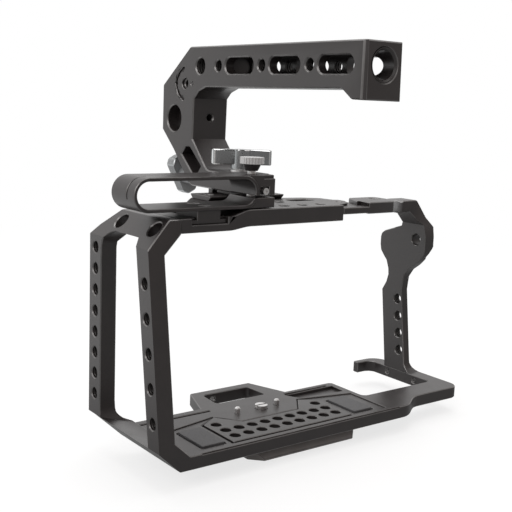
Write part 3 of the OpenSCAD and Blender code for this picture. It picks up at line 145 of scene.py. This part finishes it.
cage = surface("cage_black", (0.0245, 0.0205, 0.0200), (0.0325, 0.0270, 0.0265),
               rough=0.36, metallic=0.0, spec=0.8, grain=2600, depth=9e-6)
# the chamfers are real; their colour, far lighter and more metallic than the black faces, is a
# painted highlight along the edges
cage_chamfer_highlight = surface("cage_chamfer_highlight", (0.155, 0.150, 0.148), (0.235, 0.229, 0.227),
                    rough=0.32, metallic=0.7, spec=0.6, grain=2600, depth=5e-6)
dovetail = surface("dovetail_grey", (0.30, 0.288, 0.284), (0.355, 0.34, 0.336),
                   rough=0.45, metallic=0.0, spec=0.6, grain=2600, depth=9e-6)
insert = surface("insert_black", (0.024, 0.021, 0.0205), (0.034, 0.0295, 0.029),
                 rough=0.34, metallic=0.0, spec=0.8, grain=2600, depth=1.1e-5)
pad = surface("pad_rubber", (0.078, 0.078, 0.080), (0.108, 0.108, 0.112),
              rough=0.55, metallic=0.0, spec=0.5, grain=1500, depth=3.5e-5, spread=0.1)
steel = surface("steel", (0.66, 0.655, 0.65), (0.84, 0.835, 0.83),
                rough=0.34, metallic=1.0, spec=0.5, grain=1800, depth=5e-6, spread=0.1)
knob = surface("knob_grey", (0.35, 0.365, 0.37), (0.43, 0.445, 0.45),
               rough=0.28, metallic=1.0, spec=0.5, grain=2600, depth=8e-6)
# near white, far lighter than the grey knob: a painted highlight along the knob's chamfers
knob_chamfer_highlight = surface("knob_chamfer_highlight", (0.78, 0.79, 0.79), (0.9, 0.9, 0.89),
                    rough=0.22, metallic=1.0, spec=0.5, grain=2600, depth=5e-6)
lobes = surface("knob_satin", (0.31, 0.322, 0.328), (0.37, 0.384, 0.39),
                rough=0.52, metallic=0.2, spec=0.5, grain=2600, depth=8e-6)
thread = surface("thread_dark", (0.030, 0.028, 0.027), (0.055, 0.052, 0.05),
                 rough=0.30, metallic=0.5, spec=0.6, grain=1800, depth=4e-6)


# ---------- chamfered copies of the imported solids
WELD = 1e-6                        # vertices closer than this are one
FLAT_ANGLE = math.radians(0.4)     # faces that differ by less are one
HARD_ANGLE = math.radians(30.0)    # edges sharper than this get a chamfer
CHAIN_ANGLE = math.radians(50)     # hard edges that turn by less make one chain
SHADE_ANGLE = math.radians(28)     # edges sharper than this are shaded as sharp
SAMPLE = 0.4 * MM                  # spacing of the points that stand for an edge
SHORT_EDGE = 1.5 * MM              # an edge below this is measured at its middle only
SPOTS = (0.3, 0.4, 0.5, 0.6, 0.7)  # where a longer edge is measured
SEARCH = 3                         # reach of that measurement, in chamfer widths
CLEAR_SHARE = 0.38                 # chamfer width as a share of the free way, at most
OFF_SOLID = 0.02 * MM              # a chamfer's corner may lie this far off the solid
REPAIR_REACH = 1.6                 # reach of a repair, in chamfer widths
REPAIRS = 6                        # rounds of repair, at most


def chains(hard):
    """Gives each hard edge the number of its chain: edges that follow on smoothly."""
    at_vert = {}
    for e in hard:
        for v in e.verts:
            at_vert.setdefault(v.index, []).append(e)

    def bend(v, e, f):
        p, q = e.other_vert(v).co - v.co, f.other_vert(v).co - v.co
        return math.pi - p.angle(q, 0)

    chain = {}
    for e in hard:
        if e.index in chain:
            continue
        chain[e.index] = e.index
        todo = [e]
        while todo:
            f = todo.pop()
            for v in f.verts:
                near = at_vert[v.index]
                if len(near) != 2:
                    continue
                g = near[0] if near[1] is f else near[1]
                if g.index not in chain and bend(v, f, g) < CHAIN_ANGLE:
                    chain[g.index] = e.index
                    todo.append(g)
    return chain


def widths(bm, width, plain):
    """Each outer edge's chamfer as a share of `width`: less where other edges are close."""
    hard = [e for e in bm.edges
            if len(e.link_faces) == 2 and e.calc_face_angle(0) > HARD_ANGLE]
    chain = chains(hard)
    points = []
    for e in hard:
        p, q = e.verts[0].co, e.verts[1].co
        n = max(1, int(e.calc_length() / SAMPLE))
        points += [(p.lerp(q, (i + 0.5) / n), chain[e.index]) for i in range(n)]
    tree = KDTree(len(points))
    for i, (co, _) in enumerate(points):
        tree.insert(co, i)
    tree.balance()
    share = {}
    for e in hard:
        p, q = e.verts[0].co, e.verts[1].co
        if not e.is_convex or any(test(p) and test(q) for test in plain):
            continue
        free = SEARCH * width
        for t in SPOTS if e.calc_length() > SHORT_EDGE else (0.5,):
            for _, i, d in tree.find_range(p.lerp(q, t), SEARCH * width):
                if points[i][1] != chain[e.index]:
                    free = min(free, d)
        share[e.index] = min(1.0, CLEAR_SHARE * free / width)
    return share


def corners_off(made, solid, corners, width):
    """The solid's vertices near which the chamfered mesh leaves the solid."""
    links = {}
    for e in made.edges:
        links.setdefault(e.vertices[0], []).append(e.vertices[1])
        links.setdefault(e.vertices[1], []).append(e.vertices[0])
    bad = set()
    for v in made.vertices:
        gap = solid.find_nearest(v.co)[3]
        if gap is None or gap > OFF_SOLID:
            for w in [v.index] + links.get(v.index, []):
                for _, i, _ in corners.find_range(made.vertices[w].co, REPAIR_REACH * width):
                    bad.add(i)
    return bad


def dressed(name, body, slot, main, edge, width, plain):
    """A copy of a CAD node with its outer edges chamfered, which stands for the node."""
    me = nodes[name].data.copy()
    for old in ("custom_normal", "sharp_edge", "sharp_face"):
        if old in me.attributes:
            me.attributes.remove(me.attributes[old])
    bm = bmesh.new()
    bm.from_mesh(me)
    bmesh.ops.remove_doubles(bm, verts=bm.verts, dist=WELD)
    bmesh.ops.dissolve_limit(bm, angle_limit=FLAT_ANGLE, verts=bm.verts, edges=bm.edges)
    bmesh.ops.recalc_face_normals(bm, faces=bm.faces)
    for f in bm.faces:
        f.material_index = 0
        f.smooth = True
    bm.edges.index_update()
    bm.verts.index_update()
    bm.normal_update()
    share = widths(bm, width, plain)
    solid = BVHTree.FromBMesh(bm)
    corners = KDTree(len(bm.verts))
    for v in bm.verts:
        corners.insert(v.co, v.index)
    corners.balance()
    ends = [tuple(v.index for v in e.verts) for e in bm.edges]
    layer = bm.edges.layers.float.new("bevel_weight_edge")
    for e in bm.edges:
        e[layer] = share.get(e.index, 0.0)
    bm.to_mesh(me)
    bm.free()
    me.materials.clear()
    me.materials.append(main)
    me.materials.append(edge)
    ob = bpy.data.objects.new(name + "_skin", me)
    bpy.context.scene.collection.objects.link(ob)
    mod = ob.modifiers.new("chamfer", "BEVEL")
    mod.limit_method = "WEIGHT"
    mod.offset_type = "OFFSET"
    mod.width = width
    mod.segments = 1
    # the chamfer faces take the second material; where it is lighter than the faces, it paints
    # a highlight along the edges
    mod.material = 1
    mod.use_clamp_overlap = False
    mod.loop_slide = False
    # a chamfer's corners lie on the solid: where one doesn't, its edges stay sharp
    for _ in range(REPAIRS):
        bpy.context.view_layer.update()
        deps = bpy.context.evaluated_depsgraph_get()
        made = bpy.data.meshes.new_from_object(ob.evaluated_get(deps))
        bad = corners_off(made, solid, corners, width)
        if not bad:
            break
        data = me.attributes["bevel_weight_edge"].data
        for i, (p, q) in enumerate(ends):
            if p in bad or q in bad:
                data[i].value = 0.0
        me.update()
    ob.modifiers.clear()
    made.name = name + "_mesh"
    ob.data = made
    made.set_sharp_from_angle(angle=SHADE_ANGLE)
    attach(ob, body)
    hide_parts(name)


# Places that stay sharp, in mm in the part's own coordinates.
ORIGIN_X, ORIGIN_Y, ORIGIN_Z = 90, 25.7, -8     # the shared frame's origin there
SEAM_X = 16                        # the left side meets the base
SEAM_Z = 6.4                       # the grip side stands on the base
SEAM_TOL = 0.05 * MM
BAR_X = (63.8, 82.9)               # inside the handle's bar
BAR_Y = -44.4
BAR_Z = (165.7, 184.5)


def side_seam(co):
    return abs(co.x - (SEAM_X - ORIGIN_X) * MM) < SEAM_TOL


def grip_seam(co):
    return abs(co.z - (SEAM_Z - ORIGIN_Z) * MM) < SEAM_TOL


def inside_bar(co):
    """Within the handle's bar, where its bore, slots and tapped holes meet."""
    x, y, z = co.x / MM + ORIGIN_X, co.y / MM + ORIGIN_Y, co.z / MM + ORIGIN_Z
    return BAR_X[0] < x < BAR_X[1] and y > BAR_Y and BAR_Z[0] < z < BAR_Z[1]


# node, body, material slot, faces, chamfers (mostly a lighter colour: a painted highlight along
# the edges), chamfer width, places that stay sharp
plan = [
    ("base_plate", "cage", "cage_black", cage, cage_chamfer_highlight, 0.4 * MM, [side_seam]),
    ("left_frame", "cage", "cage_black", cage, cage_chamfer_highlight, 0.45 * MM, [side_seam]),
    ("top_plate", "cage", "cage_black", cage, cage_chamfer_highlight, 0.4 * MM, []),
    ("grip_frame", "cage", "cage_black", cage, cage_chamfer_highlight, 0.45 * MM, [grip_seam]),
    ("dovetail_plate", "cage", "cage_black", dovetail, cage_chamfer_highlight, 0.3 * MM, []),
    ("vent_panel", "cage", "insert_black", insert, cage_chamfer_highlight, 0.3 * MM, []),
    ("camera_pads", "cage", "pad_rubber", pad, pad, 0.25 * MM, []),
    ("accessory_rail", "cage", "cage_black", cage, cage_chamfer_highlight, 0.2 * MM, []),
    ("handle_frame", "handle", "cage_black", cage, cage_chamfer_highlight, 0.6 * MM, [inside_bar]),
    ("clamp_jaw", "jaw", "insert_black", insert, cage_chamfer_highlight, 0.25 * MM, []),
    # the clamp knob's chamfers take the lighter, glossier grey of the foot knob: a painted
    # highlight along its edges
    ("clamp_knob", "clamp_knob", "knob_grey", lobes, knob, 0.55 * MM, []),
    ("foot_knob", "foot_knob", "knob_grey", knob, knob_chamfer_highlight, 0.45 * MM, []),
    ("drive_band", "drive_clamp", "cage_black", cage, cage_chamfer_highlight, 0.3 * MM, []),
    ("shoe_foot", "drive_clamp", "insert_black", insert, cage_chamfer_highlight, 0.25 * MM, []),
]
for row in plan:
    dressed(*row)


# ---------- thread ridges in the tapped holes
PITCH = {2.65: 1.27, 3.95: 1.588, 1.8: 0.7, 1.6: 0.7, 1.5: 0.5}   # of a bore's radius, mm
RIDGE_STEPS = 26         # steps in one turn
RIDGE_HEIGHT = 0.22      # share of the pitch
RIDGE_FOOT = 0.4         # half its width in the wall, share of the pitch
RIDGE_TOP = 0.06         # half its width at the top, share of the pitch
RIDGE_SINK = 0.03 * MM   # its foot lies this deep in the wall
RIDGE_FADE = 8           # steps in which it rises at its ends
MOUTH_GAP = 0.8          # from the hole's mouth to the first ridge, mm
INNER_GAP = 0.4          # from the last ridge to the hollow in the handle's bar, mm
HANDLE_WALL = 4.6        # depth of the handle's side wall beside the hollow, mm
RIDGE_ANGLE = math.radians(40)     # its edges sharper than this are shaded as sharp


def ridge(bm, mouth, axis, r, pitch, z0, z1):
    """Adds a helical thread ridge inside a bore, from depth z0 to z1 under its mouth."""
    axis = axis.normalized()
    side = axis.orthogonal().normalized()
    other = axis.cross(side)
    count = max(2, int((z1 - z0) / pitch * RIDGE_STEPS))
    rows = []
    for i in range(count + 1):
        turn = 2 * math.pi * (i / RIDGE_STEPS)
        out = side * math.cos(turn) + other * math.sin(turn)
        depth = z0 + (z1 - z0) * i / count
        fade = min(1.0, i / RIDGE_FADE, (count - i) / RIDGE_FADE)
        top = r - RIDGE_HEIGHT * pitch * fade
        foot = r + RIDGE_SINK
        profile = ((foot, -RIDGE_FOOT), (top, -RIDGE_TOP), (top, RIDGE_TOP), (foot, RIDGE_FOOT))
        rows.append([bm.verts.new(mouth + out * rad - axis * (depth + dz * pitch))
                     for rad, dz in profile])
    for p, q in zip(rows, rows[1:]):
        for k in range(4):
            bm.faces.new((p[k], p[(k + 1) % 4], q[(k + 1) % 4], q[k]))
    bm.faces.new(rows[0][::-1])
    bm.faces.new(rows[-1])


groups = {"cage": [], "handle": [], "rail": []}
for m in frame["record"]["mounts"]:
    if m["kind"] == "threaded_hole":
        key = "handle" if m["name"].startswith(("handle_", "boss_")) else "cage"
        groups["rail" if m["name"].startswith(("rail_", "bump_")) else key].append(m)
for key, found in groups.items():
    bm = bmesh.new()
    for m in found:
        r = round(m["dims"]["r_mm"], 2)
        length = m["dims"]["length_mm"]
        spans = [(MOUTH_GAP, length - MOUTH_GAP)]
        if m["name"] in ("handle_thread_2", "handle_thread_3"):
            # these cross the hollow in the bar, so each wall has a ridge of its own
            spans = [(MOUTH_GAP, HANDLE_WALL - INNER_GAP),
                     (length - HANDLE_WALL + INNER_GAP, length - MOUTH_GAP)]
        for z0, z1 in spans:
            ridge(bm, Vector(m["pos_m"]), Vector(m["axis"]), r * MM, PITCH[r] * MM,
                  z0 * MM, z1 * MM)
    bmesh.ops.recalc_face_normals(bm, faces=bm.faces)
    me = bpy.data.meshes.new(key + "_threads_mesh")
    bm.to_mesh(me)
    bm.free()
    for poly in me.polygons:
        poly.use_smooth = True
    me.set_sharp_from_angle(angle=RIDGE_ANGLE)
    me.materials.append(steel if key == "rail" else thread)
    ob = bpy.data.objects.new(key + "_threads", me)
    bpy.context.scene.collection.objects.link(ob)
    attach(ob, "handle" if key == "handle" else "cage")

# nodes that are shown as they are packed
kept = {
    steel: ("locating_pins", "camera_screw", "dovetail_screws", "frame_screws",
            "rail_screws", "foot_washer", "foot_stud", "clamp_stud", "foot_screws",
            "thumb_screw", "pocket_screw"),
    insert: ("rod_socket", "handle_pin", "thumb_cone"),
}
for m, names in kept.items():
    for name in names:
        for s in nodes[name].material_slots:
            s.link = "OBJECT"
            s.material = m


# ---------- floor, light and camera
FLOOR_RADIUS = 6.0
FLOOR_GAP = 0.0002                 # from the floor up to the part
FLOOR_GREY = (0.30, 0.30, 0.30, 1)     # what takes the part's shadow
FLOOR_GLOW = (0.74, 0.74, 0.74, 1)     # what brings the floor near the part to white
FLOOR_FADE = (0.28, 0.75)          # radii between which the floor turns plain white
# the dim front matches the dim room in front and also reaches under the part: a painted shade
# under it in reflections
MIRROR = (0.30, 0.9)               # its mirror image, in front of and behind the part
MIRROR_Y = (0.0, 0.22)             # where along Y that changes
WHITE = (1, 1, 1, 1)


def studio_floor():
    """White floor with a soft shadow near the part; its mirror image is dim in front and under
    the part, a painted shade under it in what the part reflects.
    """
    m, nt, surface_socket = new_material("floor_white")
    at = nt.nodes.new("ShaderNodeTexCoord").outputs["Object"]
    sep = nt.nodes.new("ShaderNodeSeparateXYZ")
    nt.links.new(at, sep.inputs[0])
    far = nt.nodes.new("ShaderNodeVectorMath")
    far.operation = "LENGTH"
    nt.links.new(at, far.inputs[0])
    away = remap(nt, far.outputs["Value"], 0.0, 1.0, *FLOOR_FADE)
    matt = add(nt, "ShaderNodeBsdfDiffuse", Color=FLOOR_GREY).outputs[0]
    glow = add(nt, "ShaderNodeEmission", Color=FLOOR_GLOW).outputs[0]
    near = nt.nodes.new("ShaderNodeAddShader")
    nt.links.new(matt, near.inputs[0])
    nt.links.new(glow, near.inputs[1])
    white = add(nt, "ShaderNodeEmission", Color=WHITE).outputs[0]
    mirror = add(nt, "ShaderNodeEmission", Color=WHITE)
    nt.links.new(remap(nt, sep.outputs[1], *MIRROR, *MIRROR_Y), mirror.inputs["Strength"])
    path = nt.nodes.new("ShaderNodeLightPath")
    seen = either(nt, away, near.outputs[0], white)
    unseen = either(nt, path.outputs["Is Glossy Ray"], matt, mirror.outputs[0])
    nt.links.new(either(nt, path.outputs["Is Camera Ray"], unseen, seen), surface_socket)
    bm = bmesh.new()
    bmesh.ops.create_circle(bm, cap_ends=True, segments=96, radius=FLOOR_RADIUS)
    me = bpy.data.meshes.new("floor")
    bm.to_mesh(me)
    bm.free()
    me.materials.append(m)
    ob = bpy.data.objects.new("floor", me)
    ob.location = (0, 0, cad_lo[2] - FLOOR_GAP)
    bpy.context.scene.collection.objects.link(ob)


ROOM = (0.32, 0.92)                # strength of the room in front and of the one behind
ROOM_Y = (-0.75, 0.35)             # directions along Y between which it changes
ROOM_FRONT = (1.0, 0.87, 0.82)     # the room in front is slightly warm
ROOM_BACK = (1.0, 1.0, 1.0)


def studio_world():
    """White to the camera; to the part, white behind it and dimmer in front of it."""
    world = bpy.data.worlds.new("studio")
    bpy.context.scene.world = world
    world.use_nodes = True
    nt = world.node_tree
    nt.nodes.clear()
    out = nt.nodes.new("ShaderNodeOutputWorld")
    back = nt.nodes.new("ShaderNodeBackground")
    camera_ray = nt.nodes.new("ShaderNodeLightPath").outputs["Is Camera Ray"]
    sep = nt.nodes.new("ShaderNodeSeparateXYZ")
    nt.links.new(nt.nodes.new("ShaderNodeTexCoord").outputs["Generated"], sep.inputs[0])
    level = remap(nt, sep.outputs[1], *ROOM, *ROOM_Y)
    strength = nt.nodes.new("ShaderNodeMix")
    nt.links.new(camera_ray, strength.inputs["Factor"])
    nt.links.new(level, strength.inputs[2])
    strength.inputs[3].default_value = 1.0
    nt.links.new(strength.outputs[0], back.inputs["Strength"])
    hue = nt.nodes.new("ShaderNodeMix")
    hue.data_type = "RGBA"
    nt.links.new(camera_ray, hue.inputs["Factor"])
    nt.links.new(tint(nt, level, ROOM_FRONT, ROOM_BACK), hue.inputs[6])
    hue.inputs[7].default_value = WHITE
    nt.links.new(hue.outputs[2], back.inputs["Color"])
    nt.links.new(back.outputs[0], out.inputs[0])


def lamp(name, at, to, size, watts):
    d = bpy.data.lights.new(name, "AREA")
    d.shape = "RECTANGLE"
    d.size, d.size_y = size
    d.energy = watts
    ob = bpy.data.objects.new(name, d)
    ob.location = at
    ob.rotation_euler = (Vector(to) - Vector(at)).to_track_quat("-Z", "Y").to_euler()
    bpy.context.scene.collection.objects.link(ob)


studio_floor()
studio_world()
mid = (cad_lo + cad_hi) / 2
lamp("left_high", (-1.1, -0.5, 1.0), mid, (0.9, 0.9), 5.0)
lamp("top", (0.1, 0.3, 1.5), mid, (1.2, 1.2), 8.0)

# the photograph's camera: yaw to the right of +Y, pitch down, roll
YAW, PITCH_DOWN, ROLL = (math.radians(a) for a in (37.05041, 9.68135, 2.24775))
CAMERA_AT = (-0.277832, -0.336701, 0.166997)
FOCAL_PX, PHOTO_PX, SENSOR_MM = 903.393, 512, 36.0
sy, cy = math.sin(YAW), math.cos(YAW)
sp, cp = math.sin(PITCH_DOWN), math.cos(PITCH_DOWN)
fwd = Vector((sy * cp, cy * cp, -sp))
right = Vector((cy, -sy, 0))
up = right.cross(fwd)
axis_x = right * math.cos(ROLL) + up * math.sin(ROLL)
axis_y = up * math.cos(ROLL) - right * math.sin(ROLL)
cam_data = bpy.data.cameras.new("camera")
cam_data.sensor_width = SENSOR_MM
cam_data.lens = FOCAL_PX / PHOTO_PX * SENSOR_MM
cam = bpy.data.objects.new("camera", cam_data)
turn = Matrix((axis_x, axis_y, -fwd)).transposed().to_4x4()
cam.matrix_world = Matrix.Translation(CAMERA_AT) @ turn
bpy.context.scene.collection.objects.link(cam)
bpy.context.scene.camera = cam
bpy.context.scene.view_settings.view_transform = "Standard"
